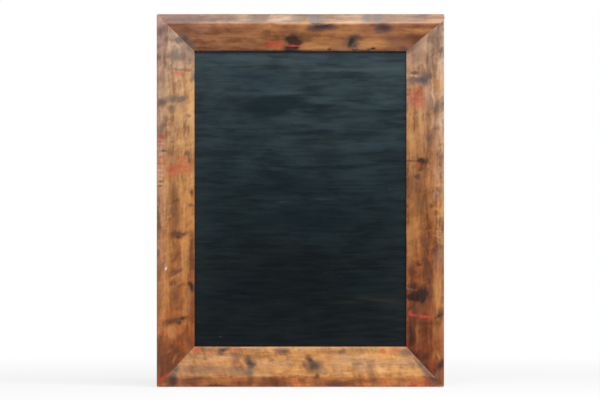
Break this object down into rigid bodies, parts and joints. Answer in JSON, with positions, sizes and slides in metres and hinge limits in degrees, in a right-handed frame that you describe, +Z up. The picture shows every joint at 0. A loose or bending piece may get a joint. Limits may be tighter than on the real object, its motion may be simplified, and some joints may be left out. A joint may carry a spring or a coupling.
{
  "type": "framed writing board",
  "caption": "Wall-hung chalk writing board: a dark painted panel in a wide ridged wooden frame, held by turn buttons and hung from strap hangers with D-rings on its back.",
  "frame": {"origin": "middle of the frame's bottom face", "axes": "+Z up the board, +Y out of its back towards the wall, so the writing side faces -Y, and +X to the right as seen from the front"},
  "size_m": [0.575, 0.0379, 0.746],
  "materials": {
    "stained_softwood": "brown stain and wax, worn",
    "blackboard_paint": "brushed matt blackboard paint on MDF",
    "pressed_beech": "bare pressed beech",
    "zinc_plated_steel": "zinc plated, satin",
    "bright_steel_wire": "nickel plated wire, bright",
    "dark_rubber": "matt rubber"
  },
  "bodies": {
    "frame": {"frame_top_rail": "stained_softwood", "frame_bottom_rail": "stained_softwood", "frame_left_stile": "stained_softwood", "frame_right_stile": "stained_softwood", "corner_biscuit_top_left": "pressed_beech", "corner_biscuit_top_right": "pressed_beech", "corner_biscuit_bottom_left": "pressed_beech", "corner_biscuit_bottom_right": "pressed_beech", "writing_panel": "blackboard_paint", "turn_button_screws": "zinc_plated_steel", "hanger_screws": "zinc_plated_steel", "hanger_strap_left": "zinc_plated_steel", "hanger_strap_right": "zinc_plated_steel", "wall_bumper_left": "dark_rubber", "wall_bumper_right": "dark_rubber"},
    "turn_button_top_left": {"turn_button_top_left": "zinc_plated_steel"},
    "turn_button_bottom_left": {"turn_button_bottom_left": "zinc_plated_steel"},
    "turn_button_left_upper": {"turn_button_left_upper": "zinc_plated_steel"},
    "turn_button_left_middle": {"turn_button_left_middle": "zinc_plated_steel"},
    "turn_button_left_lower": {"turn_button_left_lower": "zinc_plated_steel"},
    "turn_button_top_right": {"turn_button_top_right": "zinc_plated_steel"},
    "turn_button_bottom_right": {"turn_button_bottom_right": "zinc_plated_steel"},
    "turn_button_right_upper": {"turn_button_right_upper": "zinc_plated_steel"},
    "turn_button_right_middle": {"turn_button_right_middle": "zinc_plated_steel"},
    "turn_button_right_lower": {"turn_button_right_lower": "zinc_plated_steel"},
    "hanger_ring_left": {"hanger_ring_left": "bright_steel_wire"},
    "hanger_ring_right": {"hanger_ring_right": "bright_steel_wire"}
  },
  "joints": [
    {"name": "turn_button_top_left_spin", "type": "hinge", "parent": "frame", "child": "turn_button_top_left", "pos_m": [-0.115, 0.0107, 0.69], "axis": [0, 1, 0], "continuous": true},
    {"name": "turn_button_bottom_left_spin", "type": "hinge", "parent": "frame", "child": "turn_button_bottom_left", "pos_m": [-0.115, 0.0107, 0.062], "axis": [0, 1, 0], "continuous": true},
    {"name": "turn_button_left_upper_spin", "type": "hinge", "parent": "frame", "child": "turn_button_left_upper", "pos_m": [-0.2305, 0.0107, 0.622], "axis": [0, 1, 0], "continuous": true},
    {"name": "turn_button_left_middle_spin", "type": "hinge", "parent": "frame", "child": "turn_button_left_middle", "pos_m": [-0.2305, 0.0107, 0.376], "axis": [0, 1, 0], "continuous": true},
    {"name": "turn_button_left_lower_spin", "type": "hinge", "parent": "frame", "child": "turn_button_left_lower", "pos_m": [-0.2305, 0.0107, 0.13], "axis": [0, 1, 0], "continuous": true},
    {"name": "turn_button_top_right_spin", "type": "hinge", "parent": "frame", "child": "turn_button_top_right", "pos_m": [0.115, 0.0107, 0.69], "axis": [0, 1, 0], "continuous": true},
    {"name": "turn_button_bottom_right_spin", "type": "hinge", "parent": "frame", "child": "turn_button_bottom_right", "pos_m": [0.115, 0.0107, 0.062], "axis": [0, 1, 0], "continuous": true},
    {"name": "turn_button_right_upper_spin", "type": "hinge", "parent": "frame", "child": "turn_button_right_upper", "pos_m": [0.2305, 0.0107, 0.622], "axis": [0, 1, 0], "continuous": true},
    {"name": "turn_button_right_middle_spin", "type": "hinge", "parent": "frame", "child": "turn_button_right_middle", "pos_m": [0.2305, 0.0107, 0.376], "axis": [0, 1, 0], "continuous": true},
    {"name": "turn_button_right_lower_spin", "type": "hinge", "parent": "frame", "child": "turn_button_right_lower", "pos_m": [0.2305, 0.0107, 0.13], "axis": [0, 1, 0], "continuous": true},
    {"name": "hanger_ring_left_swing", "type": "hinge", "parent": "frame", "child": "hanger_ring_left", "pos_m": [-0.2545, 0.01275, 0.556], "axis": [-1, 0, 0], "range_deg": [0, 175]},
    {"name": "hanger_ring_right_swing", "type": "hinge", "parent": "frame", "child": "hanger_ring_right", "pos_m": [0.2545, 0.01275, 0.556], "axis": [-1, 0, 0], "range_deg": [0, 175]}
  ]
}
